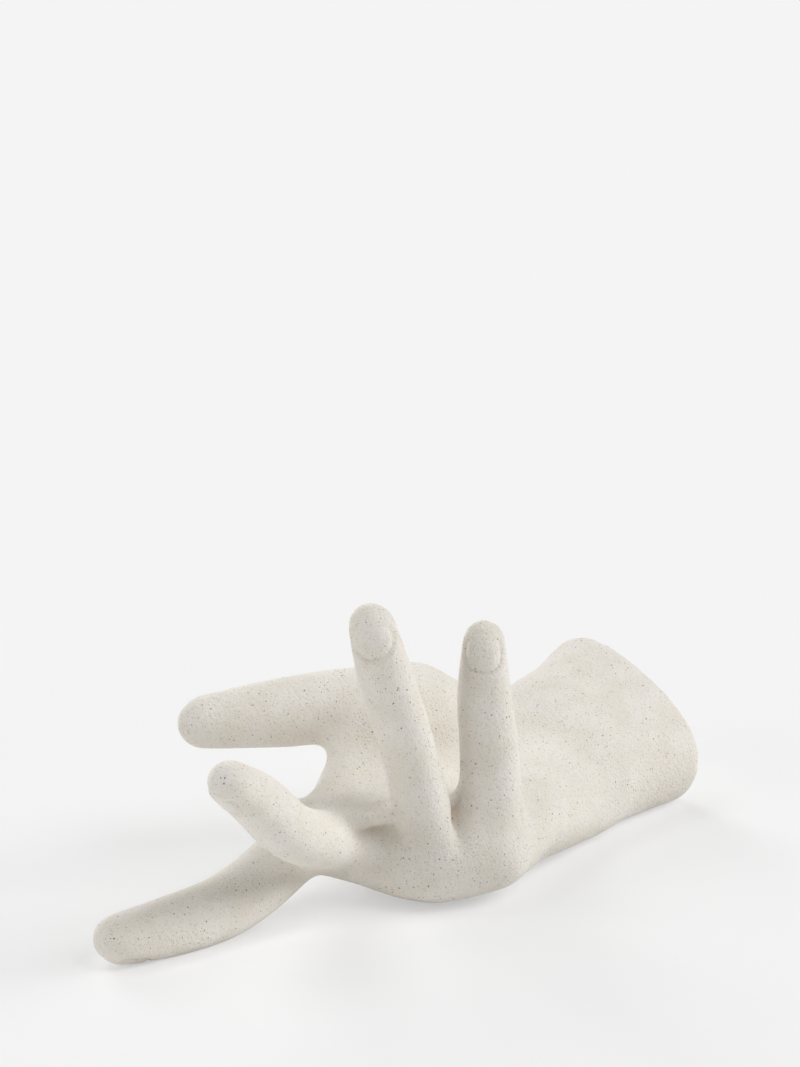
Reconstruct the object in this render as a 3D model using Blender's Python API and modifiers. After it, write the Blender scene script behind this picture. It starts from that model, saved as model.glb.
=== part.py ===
"""Hand jewelry stand: a life-size right hand, cast in one piece, lying on its back.

The palm faces up. The ring and little fingers stand up, the middle finger curls up at a low
angle, the forefinger reaches down to the surface and lies along it, and the thumb reaches
level above it. The wrist flares to a plain flat end. Rings hang on the standing fingers,
bracelets on the wrist or over the fingers, and small things lie in the palm.

Frame: fingers towards -X, wrist towards +X, thumb side +Y, palm +Z. The origin is the middle
of the footprint, on the surface that the hand rests on. Sizes below are in millimetres and
degrees, and the finished mesh is in metres.
"""
import math

import bpy
import bmesh
import numpy as np
from mathutils import Matrix, Vector

MM = 0.001

# Each finger: where the middle of its knuckle lies, its heading away from straight ahead
# (positive towards the thumb), how much further the two outer bones bend that way, the length
# of each bone, the rise of each bone above level, and the half width at the knuckle, the middle
# joint, the end joint and the tip.
LITTLE = dict(knuckle=(3.5, -17.0, 16.0), heading=-8.0, bend=0.0, bones=(30.0, 18.5, 14.0),
              rises=(87.0, 77.0, 89.0), half_widths=(8.9, 8.5, 7.7, 6.2))
RING = dict(knuckle=(-7.0, -5.0, 13.5), heading=1.5, bend=0.0, bones=(39.5, 26.0, 16.2),
            rises=(69.0, 64.0, 67.0), half_widths=(8.8, 7.9, 7.9, 6.7))
MIDDLE = dict(knuckle=(-14.5, 16.0, 18.0), heading=-7.5, bend=0.0, bones=(46.0, 25.5, 16.0),
              rises=(21.0, 36.5, 32.0), half_widths=(9.2, 8.5, 7.9, 6.5))
INDEX = dict(knuckle=(-20.0, 26.0, 20.8), heading=10.5, bend=6.5, bones=(40.0, 19.6, 14.6),
             rises=(-17.9, -2.5, 3.0), half_widths=(9.3, 9.4, 8.7, 7.4))
FINGER_DEPTH = 0.93          # a finger's thickness as a share of its width

# The thumb: the saddle joint at its root, then the heading, rise and length of each bone.
THUMB_ROOT = (58.0, 17.0, 25.0)
THUMB_BONES = ((43.5, 17.0, 29.5), (32.5, 46.0, -0.3), (21.5, 43.0, -2.5))
THUMB_HALF_WIDTHS = (14.0, 14.8, 11.8, 10.5, 8.2)
THUMB_PALMAR = (-0.45, -0.75, -0.45)

# The bones of the palm run from the wrist to each knuckle: root, and half widths at both ends.
# The knuckles themselves are one rounded swell across the hand.
PALM_RAYS = (
    ("little", (55.0, -8.5, 16.0), 14.0, 11.5),
    ("ring", (60.0, 0.0, 19.0), 14.0, 12.0),
    ("middle", (62.0, 9.0, 20.0), 14.0, 12.0),
    ("index", (62.0, 17.0, 22.0), 13.5, 11.0),
)
KNUCKLE_SWELL = 11.8

# The webs: the two fingers, how far up each first bone the web reaches as a share of the bone,
# its half thickness, and how far it lies off the middle of the bones towards the palm. The
# thumb's web is a fold of flesh through three places.
FINGER_WEBS = (
    ("little", 0.52, "ring", 0.40, 3.8, (3.4, -0.5, 0.0)),
    ("ring", 0.37, "middle", 0.38, 4.0, (2.0, 0.0, 2.0)),
    ("middle", 0.34, "index", 0.40, 6.0, (0.0, 0.0, 0.0)),
)
THUMB_WEB = ((17.0, 27.0, 42.0), (7.5, 29.0, 33.0), (-3.0, 27.0, 23.0))
THUMB_WEB_HALVES = (12.5, 9.5, 9.5)

# The flesh of the palm and wrist, from the knuckles to the flat end. Each station gives its
# middle, half width, half thickness, roll (thumb side up), turn to the little side, lean back.
PALM_STATIONS = (
    ((-9.0, 9.0, 15.5), 24.0, 9.5, 5.0, 0.0, 0.0),
    ((4.0, 5.0, 13.0), 27.0, 12.8, 3.0, 0.0, 0.0),
    ((25.0, 4.5, 14.8), 27.5, 14.0, 3.0, 0.0, 0.0),
    ((48.0, 2.5, 16.5), 27.2, 16.2, 4.0, 0.0, 0.0),
    ((64.0, 0.5, 18.7), 27.5, 18.5, 9.0, 3.0, 2.0),
    ((80.0, 0.3, 20.5), 27.8, 20.0, 17.0, 7.0, 5.0),
    ((96.0, -1.7, 22.0), 29.0, 20.2, 24.0, 11.0, 8.0),
    ((112.5, -3.8, 24.3), 31.6, 20.8, 30.5, 14.0, 10.0),
)
WRIST_END_ROUNDING = 2.0

# The muscles and hollows that the limbs lack: places on the skin that a stroke runs through, its
# radius, and how far it raises the skin at each place (negative sinks it).
STROKES = {
    "groove_between_little_and_ring": (
        ((-6.6, -11.8, 31.8), (-7.9, -13.3, 28.8), (-9.2, -14.6, 25.4), (-11.2, -15.7, 21.0)),
        2.4, (-2.4, -3.4, -2.6, -0.8)),
    "hollow_below_middle_and_ring_web": (
        ((-30.4, 6.4, 27.4), (-26.3, 5.1, 25.4), (-23.3, 3.0, 24.6), (-21.2, 0.6, 25.2)),
        3.4, (-1.2, -2.8, -3.4, -2.2)),
    "ledge_of_middle_and_ring_web": (
        ((-31.7, 9.2, 31.4), (-27.6, 8.2, 30.0), (-24.3, 4.7, 29.0), (-21.3, 0.5, 29.4)),
        1.6, (0.7, 1.7, 2.1, 1.3)),
    "inner_end_of_the_thumb_web": (
        ((-4.5, 33.0, 31.5), (-6.0, 26.0, 31.5), (-4.0, 18.0, 31.0)), 5.5, (0.6, 1.2, 0.4)),
    "throat_between_thumb_and_index": (
        ((2.0, 36.0, 41.0), (-1.0, 34.5, 36.5)), 5.5, (-0.9, -1.3)),
    "palm_side_of_the_index_knuckle": (
        ((-18.0, 30.5, 31.0), (-24.0, 27.0, 31.0)), 6.0, (-1.6, -2.2)),
    "ball_of_the_little_finger": (
        ((19.0, -24.5, 24.0), (30.0, -23.5, 23.0), (40.0, -24.0, 20.0)), 11.0, (1.5, 2.4, 1.8)),
    "hollow_beside_the_little_finger": (
        ((26.0, -17.0, 29.0), (18.0, -21.5, 27.5)), 5.0, (-0.9, -0.7)),
    "valley_before_the_wrist": (
        ((60.0, -9.0, 34.0), (61.0, -20.0, 28.0), (61.0, -25.0, 18.0), (57.0, -24.0, 8.0)),
        8.0, (-1.2, -2.2, -2.2, -0.8)),
    "corner_behind_the_knuckles": (
        ((14.0, -27.5, 9.0), (25.0, -26.0, 7.0), (34.0, -24.0, 5.0)), 5.0, (-0.3, -1.4, -0.4)),
    "lower_edge_of_the_palm": (
        ((42.0, -20.5, 4.0), (54.0, -20.5, 3.0), (70.0, -20.0, 2.0)), 8.0, (0.5, 0.9, 0.3)),
    "ball_of_the_thumb": (
        ((21.0, 22.5, 58.0), (31.0, 20.0, 56.0), (41.0, 16.0, 51.5)), 9.0, (1.6, 3.2, 1.8)),
    "wrist_towards_the_thumb": (
        ((90.0, 13.0, 44.0), (101.0, 16.0, 46.0), (110.0, 19.0, 46.0)), 8.0, (-0.4, -1.2, -0.4)),
}

LIMB_SPACING = 1.5           # distance between the rings of a limb
VOXEL = 1.6                  # size of the cells that fuse the limbs into one skin
VALLEY_PASSES = 40           # how far the webs between the fingers fill and soften
SKIN_PASSES = 6              # overall softening of the cast skin
NORMAL_PASSES = 4            # how far the direction of a stroke is averaged over the skin
TRIANGLES = 11600            # faces kept on the finished casting
FOOT_DEPTH = 0.6             # how far the lowest swells are flattened where they rest
CUTTER_SIZE = 600.0          # edge of the block that flattens them, wider than the hand

CAST_COLOUR = (0.86, 0.83, 0.77, 1.0)


def remove_everything():
    """Start from an empty file."""
    for obj in list(bpy.data.objects):
        bpy.data.objects.remove(obj, do_unlink=True)


def through(places, knots, values):
    """Values carried smoothly through the knots: one cubic between each neighbouring pair."""
    knots = np.asarray(knots, float)
    values = np.asarray(values, float)
    if values.ndim == 1:
        return through(places, knots, values[:, None])[:, 0]
    slopes = np.gradient(values, knots, axis=0)
    i = np.clip(np.searchsorted(knots, places) - 1, 0, len(knots) - 2)
    step = (knots[i + 1] - knots[i])[:, None]
    t = (np.asarray(places) - knots[i])[:, None] / step
    return ((2 * t**3 - 3 * t**2 + 1) * values[i] + (t**3 - 2 * t**2 + t) * step * slopes[i]
            + (3 * t**2 - 2 * t**3) * values[i + 1] + (t**3 - t**2) * step * slopes[i + 1])


def unit(vectors):
    """The same directions, one long."""
    return vectors / np.linalg.norm(vectors, axis=-1, keepdims=True)


def bone_direction(heading, rise):
    """Direction of a bone: straight ahead is -X, a positive heading turns to the thumb."""
    h, e = math.radians(heading), math.radians(rise)
    return np.array([-math.cos(h) * math.cos(e), math.sin(h) * math.cos(e), math.sin(e)])


def skin_from_rings(name, rings):
    """A closed mesh over rings of points: quads between rings, a fan of faces on each end."""
    sides = rings.shape[1]
    bm = bmesh.new()
    rows = [[bm.verts.new(Vector(p)) for p in ring] for ring in rings]
    for a, b in zip(rows, rows[1:]):
        for k in range(sides):
            n = (k + 1) % sides
            bm.faces.new((a[k], a[n], b[n], b[k]))
    bm.faces.new(rows[0])
    bm.faces.new(rows[-1])
    bmesh.ops.recalc_face_normals(bm, faces=bm.faces)
    mesh = bpy.data.meshes.new(name)
    bm.to_mesh(mesh)
    bm.free()
    return mesh


def limb(name, joints, half_widths, depth, side, sides=28, spacing=LIMB_SPACING):
    """A limb: an oval section carried along a smooth path through its joints.

    The half width runs smoothly through the value at each joint, and both ends close in a
    quarter round, as an egg does.
    """
    joints = np.asarray(joints, float)
    along = np.concatenate([[0.0], np.cumsum(np.linalg.norm(np.diff(joints, axis=0), axis=1))])
    places = np.linspace(0.0, along[-1], int(along[-1] / spacing) + 2)
    path = through(places, along, joints)
    tangent = unit(np.gradient(path, places, axis=0))
    palmar = unit(np.cross(np.broadcast_to(side, tangent.shape), tangent))
    across = np.cross(tangent, palmar)
    width = through(places, along, half_widths)

    quarter = np.radians(np.linspace(88.0, 8.0, 10))
    start = path[0] - tangent[0] * (width[0] * np.sin(quarter))[:, None]
    end = path[-1] + tangent[-1] * (width[-1] * np.sin(quarter[::-1]))[:, None]
    centres = np.concatenate([start, path, end])
    widths = np.concatenate([width[0] * np.cos(quarter), width, width[-1] * np.cos(quarter[::-1])])
    pad = ((len(quarter), len(quarter)), (0, 0))
    across = np.pad(across, pad, mode="edge")
    palmar = np.pad(palmar, pad, mode="edge")

    angle = np.linspace(0.0, 2 * np.pi, sides, endpoint=False)
    oval = (across[:, None] * np.cos(angle)[None, :, None]
            + palmar[:, None] * (depth * np.sin(angle))[None, :, None])
    return skin_from_rings(name, centres[:, None] + widths[:, None, None] * oval)


def finger_joints(finger):
    """The knuckle, the two joints and the middle of the fingertip."""
    points = [np.array(finger["knuckle"])]
    headings = finger["heading"] + finger["bend"] * np.array([0.0, 1.0, 1.0])
    for length, heading, rise in zip(finger["bones"], headings, finger["rises"]):
        points.append(points[-1] + length * bone_direction(heading, rise))
    return points


def thumb_joints():
    """The saddle joint, the two joints and the middle of the thumb's tip."""
    points = [np.array(THUMB_ROOT)]
    for length, heading, rise in THUMB_BONES:
        points.append(points[-1] + length * bone_direction(heading, rise))
    return points


def finger_limb(name, finger):
    """A finger from its knuckle to its tip."""
    heading = math.radians(finger["heading"])
    side = (math.sin(heading), math.cos(heading), 0.0)
    return limb(name, finger_joints(finger), finger["half_widths"], FINGER_DEPTH, side)


def thumb_limb():
    """The thumb from its saddle joint to its tip."""
    points = thumb_joints()
    middle = (points[0] + points[1]) / 2
    points.insert(1, middle)
    forward = unit(points[-1] - points[-3])
    side = unit(np.cross(forward, np.array(THUMB_PALMAR)))
    return limb("thumb", points, THUMB_HALF_WIDTHS, FINGER_DEPTH, side)


def palm_rays():
    """One limb for each bone inside the palm, from the wrist to the knuckle."""
    fingers = {"little": LITTLE, "ring": RING, "middle": MIDDLE, "index": INDEX}
    meshes = []
    for name, root, root_half, knuckle_half in PALM_RAYS:
        knuckle = fingers[name]["knuckle"]
        meshes.append(limb(name + "_ray", [root, knuckle], (root_half, knuckle_half), 1.0, (0, 1, 0)))
    row = [finger["knuckle"] for finger in fingers.values()]
    meshes.append(limb("knuckles", row, (KNUCKLE_SWELL,) * len(row), 1.0, (1.0, 0.0, 0.0)))
    return meshes


def webs():
    """The flesh between the roots of the fingers, and the fold between thumb and forefinger."""
    fingers = {"little": LITTLE, "ring": RING, "middle": MIDDLE, "index": INDEX}
    meshes = []
    for a, share_a, b, share_b, half, palmwards in FINGER_WEBS:
        ends = []
        for finger, share in ((fingers[a], share_a), (fingers[b], share_b)):
            root, joint = finger_joints(finger)[:2]
            ends.append(root + share * (joint - root) + np.array(palmwards))
        meshes.append(limb("web", ends, (half, half), 1.0, (0.0, 0.3, 1.0)))
    meshes.append(limb("thumb_web", THUMB_WEB, THUMB_WEB_HALVES, 1.0, (0.0, 1.0, 0.0)))
    return meshes


def oval_ring(middle, half_width, half_thickness, roll, turn=0.0, lean=0.0, sides=48, power=2.4):
    """A rounded oval across the hand: a circle whose corners are filled out by the power."""
    angle = np.linspace(0.0, 2 * np.pi, sides, endpoint=False)
    c, s = np.cos(angle), np.sin(angle)
    u = half_width * np.sign(c) * np.abs(c) ** (2 / power)
    v = half_thickness * np.sign(s) * np.abs(s) ** (2 / power)
    flat = np.stack([np.zeros_like(u), u, v], axis=-1)
    turned = (Matrix.Rotation(-math.radians(turn), 3, "Z") @ Matrix.Rotation(-math.radians(lean), 3, "Y")
              @ Matrix.Rotation(math.radians(roll), 3, "X"))
    return np.array(middle) + flat @ np.array(turned).T


def palm():
    """The palm and wrist: an oval that swells and rolls from the knuckles to the flat end."""
    table = np.array([(*station[0], *station[1:]) for station in PALM_STATIONS])
    places = np.linspace(0.0, len(table) - 1.0, 90)
    rows = through(places, np.arange(len(table)), table)
    rings = [oval_ring(row[:3], *row[3:]) for row in rows]
    last = rows[-1]
    for a in np.radians(np.linspace(15.0, 90.0, 6)):
        shrink = WRIST_END_ROUNDING * (1 - math.cos(a))
        out = np.array([WRIST_END_ROUNDING * math.sin(a), 0.0, 0.0])
        rings.append(oval_ring(last[:3] + out, last[3] - shrink, last[4] - shrink, *last[5:]))
    return skin_from_rings("palm", np.array(rings))


def join_meshes(name, meshes):
    """Put the limbs in one object. They still overlap: the remesh fuses them."""
    bm = bmesh.new()
    for mesh in meshes:
        bm.from_mesh(mesh)
        bpy.data.meshes.remove(mesh)
    mesh = bpy.data.meshes.new(name)
    bm.to_mesh(mesh)
    bm.free()
    obj = bpy.data.objects.new(name, mesh)
    bpy.context.scene.collection.objects.link(obj)
    return obj


def apply_modifier(obj, name, kind, **settings):
    """Add a modifier and keep its result as the object's mesh."""
    modifier = obj.modifiers.new(name, kind)
    for key, value in settings.items():
        setattr(modifier, key, value)
    bpy.context.view_layer.update()
    evaluated = obj.evaluated_get(bpy.context.evaluated_depsgraph_get())
    mesh = bpy.data.meshes.new_from_object(evaluated)
    old = obj.data
    obj.modifiers.clear()
    obj.data = mesh
    bpy.data.meshes.remove(old)


def read_points(mesh):
    """The mesh's points as an array."""
    co = np.empty(len(mesh.vertices) * 3)
    mesh.vertices.foreach_get("co", co)
    return co.reshape(-1, 3)


def write_points(mesh, co):
    """Put an array of points back into the mesh."""
    mesh.vertices.foreach_set("co", co.ravel())
    mesh.update()


def read_normals(mesh):
    """The mesh's normals at its points."""
    normal = np.empty(len(mesh.vertices) * 3)
    mesh.vertex_normals.foreach_get("vector", normal)
    return normal.reshape(-1, 3)


def neighbour_mean(mesh):
    """A function that takes values at the points to the mean of each point's neighbours."""
    edges = np.empty(len(mesh.edges) * 2, int)
    mesh.edges.foreach_get("vertices", edges)
    a, b = edges.reshape(-1, 2).T
    n = len(mesh.vertices)
    degree = np.bincount(a, minlength=n) + np.bincount(b, minlength=n)

    def mean(values):
        total = [np.bincount(a, column[b], n) + np.bincount(b, column[a], n) for column in values.T]
        return np.stack(total, axis=-1) / degree[:, None]

    return mean


def relax(mesh, passes, strength, valleys_only):
    """Move each point towards the middle of its neighbours, everywhere or only in hollows.

    Where the neighbours' middle lies outside the skin the place is hollow, such as the web
    between two fingers, so filling only those leaves fingertips and edges at their size.
    """
    mean = neighbour_mean(mesh)
    co = read_points(mesh)
    for _ in range(passes):
        move = mean(co) - co
        if valleys_only:
            write_points(mesh, co)
            move *= ((move * read_normals(mesh)).sum(axis=1) > 0)[:, None]
        co = co + strength * move
    write_points(mesh, co)


def stroke_relief(co, places, radius, heights):
    """Height that one stroke gives each point: it falls off around a smooth path, like a bell."""
    places = np.array(places)
    knots = np.arange(len(places))
    steps = np.linspace(0, len(places) - 1, 40)
    path = through(steps, knots, places)
    height = through(steps, knots, heights)
    d = np.linalg.norm(co[:, None] - path[None], axis=-1)
    return height[d.argmin(axis=1)] * np.exp(-(d.min(axis=1) / radius) ** 2)


def sculpt(mesh):
    """Move the skin by all the strokes, along its normal averaged over a few millimetres."""
    mean = neighbour_mean(mesh)
    co, way = read_points(mesh), read_normals(mesh)
    for _ in range(NORMAL_PASSES):
        way = mean(way)
    relief = sum(stroke_relief(co, *stroke) for stroke in STROKES.values())
    write_points(mesh, co + unit(way) * relief[:, None])


def cut_feet(obj):
    """Flatten the lowest swells where the hand rests: a block takes off all below the floor."""
    bpy.ops.mesh.primitive_cube_add(size=CUTTER_SIZE, location=(0, 0, FOOT_DEPTH - CUTTER_SIZE / 2))
    block = bpy.context.object
    block.name = "floor_cutter"
    apply_modifier(obj, "feet", "BOOLEAN", operation="DIFFERENCE", object=block, solver="EXACT")
    bpy.data.objects.remove(block, do_unlink=True)


def place(obj):
    """Scale to metres with the origin in the middle of the footprint, on the floor."""
    co = read_points(obj.data)
    low, high = co.min(axis=0), co.max(axis=0)
    shift = Vector((-(low[0] + high[0]) / 2, -(low[1] + high[1]) / 2, -low[2]))
    obj.data.transform(Matrix.Scale(MM, 4) @ Matrix.Translation(shift))
    print("hand moved by", [round(v, 3) for v in shift], "and measures", (high - low).round(2))


def cast_material():
    """Matt cream casting."""
    material = bpy.data.materials.new("cast_cream")
    material.use_nodes = True
    shader = material.node_tree.nodes["Principled BSDF"]
    shader.inputs["Base Color"].default_value = CAST_COLOUR
    shader.inputs["Roughness"].default_value = 0.9
    shader.inputs["Metallic"].default_value = 0.0
    return material


def main():
    remove_everything()
    fingers = (("little", LITTLE), ("ring", RING), ("middle", MIDDLE), ("index", INDEX))
    meshes = [finger_limb(name, finger) for name, finger in fingers]
    meshes += [thumb_limb(), palm()]
    meshes += palm_rays() + webs()
    hand = join_meshes("hand", meshes)
    apply_modifier(hand, "fuse", "REMESH", mode="VOXEL", voxel_size=VOXEL, adaptivity=0.0)
    relax(hand.data, VALLEY_PASSES, 0.5, valleys_only=True)
    relax(hand.data, SKIN_PASSES, 0.5, valleys_only=False)
    sculpt(hand.data)
    faces = len(hand.data.polygons) * 2
    apply_modifier(hand, "thin", "DECIMATE", ratio=min(1.0, TRIANGLES / faces), use_collapse_triangulate=True)
    cut_feet(hand)
    place(hand)
    hand.data.shade_smooth()
    hand.data.materials.append(cast_material())
    collection = bpy.data.collections.new("hand_jewelry_stand")
    bpy.context.scene.collection.children.link(collection)
    bpy.context.scene.collection.objects.unlink(hand)
    collection.objects.link(hand)


main()
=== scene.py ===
# %% [markdown]
# # A cast display hand: from bones to a speckled skin
#
# The real object is a life-size right hand, poured in one piece from a cream, sandy casting
# mix. It lies on its back, two fingers stand up for rings, and the wrist ends in a plain cut.
#
# The CAD model already has its true outline. Dressing it as it is would show its flat faces, so
# this lesson builds the same hand again from the same bones, with a much finer skin. It then adds
# the nails and the fine creases, and gives the hand its cast finish.

import math

import bpy
import numpy as np
from mathutils import Matrix, Vector


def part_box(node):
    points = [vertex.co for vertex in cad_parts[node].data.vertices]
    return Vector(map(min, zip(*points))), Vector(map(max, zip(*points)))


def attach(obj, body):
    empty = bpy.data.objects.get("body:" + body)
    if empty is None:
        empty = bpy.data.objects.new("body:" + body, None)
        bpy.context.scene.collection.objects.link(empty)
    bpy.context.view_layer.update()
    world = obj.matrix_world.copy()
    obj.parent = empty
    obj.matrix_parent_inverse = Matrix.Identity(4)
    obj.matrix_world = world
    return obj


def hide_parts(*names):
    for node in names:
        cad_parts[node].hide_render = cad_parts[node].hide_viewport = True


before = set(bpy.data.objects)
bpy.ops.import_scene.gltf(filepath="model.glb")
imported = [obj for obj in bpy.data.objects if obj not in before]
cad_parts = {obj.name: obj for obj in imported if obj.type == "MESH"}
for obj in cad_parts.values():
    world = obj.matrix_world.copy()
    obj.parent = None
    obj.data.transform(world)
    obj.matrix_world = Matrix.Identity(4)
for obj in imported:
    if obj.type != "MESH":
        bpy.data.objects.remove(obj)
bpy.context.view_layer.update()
cad_low, cad_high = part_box("hand")
print("nodes in the frame:", sorted(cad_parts))
print("CAD box in mm:", [round(1000 * v, 1) for v in cad_high - cad_low])

# %% [markdown]
# ## The camera
#
# The picture looks down a little on the hand from beyond the fingertips, on the little finger's
# side. The lens could be set by eye, but here its length, place and direction were worked out
# from the hand's outline in the photograph. A long lens from three quarters of a metre keeps the
# perspective gentle.

# %% Camera
PHOTO_HEIGHT = 1067          # the photograph's frame, in pixels
FOCAL_PIXELS = 2800.0        # the lens, as pixels of that frame
SENSOR = 36.0                # millimetres, along the frame's height
CAMERA_PLACE = Vector((-0.66044, -0.40005, 0.27880))
CAMERA_FORWARD = Vector((0.8349, 0.5022, -0.2253))

camera_data = bpy.data.cameras.new("camera")
camera_data.sensor_fit = "VERTICAL"
camera_data.sensor_height = SENSOR
camera_data.lens = FOCAL_PIXELS * SENSOR / PHOTO_HEIGHT
camera = bpy.data.objects.new("camera", camera_data)
camera.location = CAMERA_PLACE
camera.rotation_euler = CAMERA_FORWARD.to_track_quat("-Z", "Y").to_euler()
bpy.context.scene.collection.objects.link(camera)
bpy.context.scene.camera = camera
print("lens in mm:", round(camera_data.lens, 2))

# %% [markdown]
# ## A smooth path through a few joints
#
# A finger is not a chain of straight tubes: its skin runs smoothly over the joints. Blender's own
# curves could carry it, but their handles would have to be set one by one. A cubic from each
# joint to the next takes its slopes from the joints themselves. Every limb below uses it, for the
# path and for the width along the path.

# %% Curve through joints
def through(places, knots, values):
    """Values carried smoothly through the knots.

    Between two knots the value is a cubic (Hermite) of the share t of the way along: it meets
    both values, with the slope that the neighbours on each side give.
    """
    knots = np.asarray(knots, float)
    values = np.asarray(values, float)
    if values.ndim == 1:
        return through(places, knots, values[:, None])[:, 0]
    slopes = np.gradient(values, knots, axis=0)
    i = np.clip(np.searchsorted(knots, places) - 1, 0, len(knots) - 2)
    step = (knots[i + 1] - knots[i])[:, None]
    t = (np.asarray(places) - knots[i])[:, None] / step
    return ((2 * t**3 - 3 * t**2 + 1) * values[i] + (t**3 - 2 * t**2 + t) * step * slopes[i]
            + (3 * t**2 - 2 * t**3) * values[i + 1] + (t**3 - t**2) * step * slopes[i + 1])


def unit(vectors):
    """The same directions, one long."""
    return vectors / np.linalg.norm(vectors, axis=-1, keepdims=True)


# %% [markdown]
# ## One limb
#
# Fingers, palm bones and webs are all the same thing, a limb: an oval carried along its path. It
# could be a bevelled curve, but a surface of two parameters, the distance s along the path and
# the angle a around it, also lets the thickness differ from the width. Both ends close in a
# quarter round, as an egg does. All lengths in the hand are millimetres until it is finished.

# %% Limb surface
CAP_ANGLES = np.radians(np.linspace(88.0, 6.0, 14))      # rings that close an end, outermost first


def limb(joints, half_widths, depth, side, around=40, spacing=1.0):
    """A limb as a grid of points, ring after ring.

    point(s, a) = path(s) + w(s) * (cos a * across(s) + depth * sin a * palmar(s)), where w is
    the half width. Past each end the path runs straight on by w * sin b while the width shrinks
    to w * cos b, with b going to a right angle.
    """
    joints = np.asarray(joints, float)
    along = np.concatenate([[0.0], np.cumsum(np.linalg.norm(np.diff(joints, axis=0), axis=1))])
    places = np.linspace(0.0, along[-1], int(along[-1] / spacing) + 2)
    path = through(places, along, joints)
    tangent = unit(np.gradient(path, places, axis=0))
    palmar = unit(np.cross(np.broadcast_to(side, tangent.shape), tangent))
    across = np.cross(tangent, palmar)
    width = through(places, along, half_widths)

    b = CAP_ANGLES
    start = path[0] - tangent[0] * (width[0] * np.sin(b))[:, None]
    end = path[-1] + tangent[-1] * (width[-1] * np.sin(b[::-1]))[:, None]
    centres = np.concatenate([start, path, end])
    widths = np.concatenate([width[0] * np.cos(b), width, width[-1] * np.cos(b[::-1])])
    pad = ((len(b), len(b)), (0, 0))
    across = np.pad(across, pad, mode="edge")
    palmar = np.pad(palmar, pad, mode="edge")

    a = np.linspace(0.0, 2 * np.pi, around, endpoint=False)
    oval = across[:, None] * np.cos(a)[:, None] + palmar[:, None] * (depth * np.sin(a))[:, None]
    return centres[:, None] + widths[:, None, None] * oval


# %% [markdown]
# ## The fingers
#
# The fingers could be sculpted freely, but then nobody could repose them. So each is a knuckle,
# three bones and four half widths. The bones' lengths are those of a woman's hand. A finger's
# heading turns all of it towards the thumb, and its bend turns the last two bones a little
# further. The little and ring fingers rise steeply, the middle finger at a low angle, and the
# forefinger goes down to the table.

# %% Finger bones
# Rises and headings are in degrees; the half widths are at the knuckle, the joints and the tip.
LITTLE = dict(knuckle=(3.5, -17.0, 16.0), heading=-8.0, bend=0.0, bones=(30.0, 18.5, 14.0),
              rises=(87.0, 77.0, 89.0), half_widths=(8.9, 8.5, 7.7, 6.2))
RING = dict(knuckle=(-7.0, -5.0, 13.5), heading=1.5, bend=0.0, bones=(39.5, 26.0, 16.2),
            rises=(69.0, 64.0, 67.0), half_widths=(8.8, 7.9, 7.9, 6.7))
MIDDLE = dict(knuckle=(-14.5, 16.0, 18.0), heading=-7.5, bend=0.0, bones=(46.0, 25.5, 16.0),
              rises=(21.0, 36.5, 32.0), half_widths=(9.2, 8.5, 7.9, 6.5))
INDEX = dict(knuckle=(-20.0, 26.0, 20.8), heading=10.5, bend=6.5, bones=(40.0, 19.6, 14.6),
             rises=(-17.9, -2.5, 3.0), half_widths=(9.3, 9.4, 8.7, 7.4))
FINGERS = dict(little=LITTLE, ring=RING, middle=MIDDLE, index=INDEX)
FINGER_DEPTH = 0.93          # a finger's thickness as a share of its width


def bone_direction(heading, rise):
    """Direction of a bone: straight ahead is -X, a positive heading turns to the thumb."""
    h, e = math.radians(heading), math.radians(rise)
    return np.array([-math.cos(h) * math.cos(e), math.sin(h) * math.cos(e), math.sin(e)])


def finger_joints(finger):
    """The knuckle, the two joints and the middle of the fingertip."""
    points = [np.array(finger["knuckle"])]
    headings = finger["heading"] + finger["bend"] * np.array([0.0, 1.0, 1.0])
    for length, heading, rise in zip(finger["bones"], headings, finger["rises"]):
        points.append(points[-1] + length * bone_direction(heading, rise))
    return points


def finger_limb(finger):
    """A finger from its knuckle to its tip."""
    heading = math.radians(finger["heading"])
    side = (math.sin(heading), math.cos(heading), 0.0)
    return limb(finger_joints(finger), finger["half_widths"], FINGER_DEPTH, side)


grids = [finger_limb(finger) for finger in FINGERS.values()]
print("points on the four fingers:", sum(grid.shape[0] * grid.shape[1] for grid in grids))

# %% [markdown]
# ## The thumb
#
# The thumb starts deep in the palm at its saddle joint and points away over the forefinger. Its
# ball is the thick muscle between that joint and the next one. A separate ball would leave a
# seam, so the first bone gets a middle point with the greatest width instead.

# %% Thumb
THUMB_ROOT = (58.0, 17.0, 25.0)
# Each bone: length, heading and rise.
THUMB_BONES = ((43.5, 17.0, 29.5), (32.5, 46.0, -0.3), (21.5, 43.0, -2.5))
THUMB_HALF_WIDTHS = (14.0, 14.8, 11.8, 10.5, 8.2)
THUMB_PALMAR = (-0.45, -0.75, -0.45)     # the way that the thumb's pad faces


def thumb_joints():
    """The saddle joint, the two joints and the middle of the thumb's tip."""
    points = [np.array(THUMB_ROOT)]
    for length, heading, rise in THUMB_BONES:
        points.append(points[-1] + length * bone_direction(heading, rise))
    return points


def thumb_limb():
    """The thumb from its saddle joint to its tip."""
    points = thumb_joints()
    points.insert(1, (points[0] + points[1]) / 2)
    forward = unit(points[-1] - points[-3])
    side = unit(np.cross(forward, np.array(THUMB_PALMAR)))
    return limb(points, THUMB_HALF_WIDTHS, FINGER_DEPTH, side)


grids.append(thumb_limb())
print("thumb tip at, in mm:", thumb_joints()[-1].round(1))

# %% [markdown]
# ## The bones of the palm and the webs
#
# Inside the palm one limb runs to each knuckle, and the knuckles are one rounded swell across
# the hand. Between the fingers lie the webs. They could be faces bridged by hand, but short limbs
# that join two first bones a third or half of the way up follow the fingers by themselves. The
# fold between thumb and forefinger is a web through three places.

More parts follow.
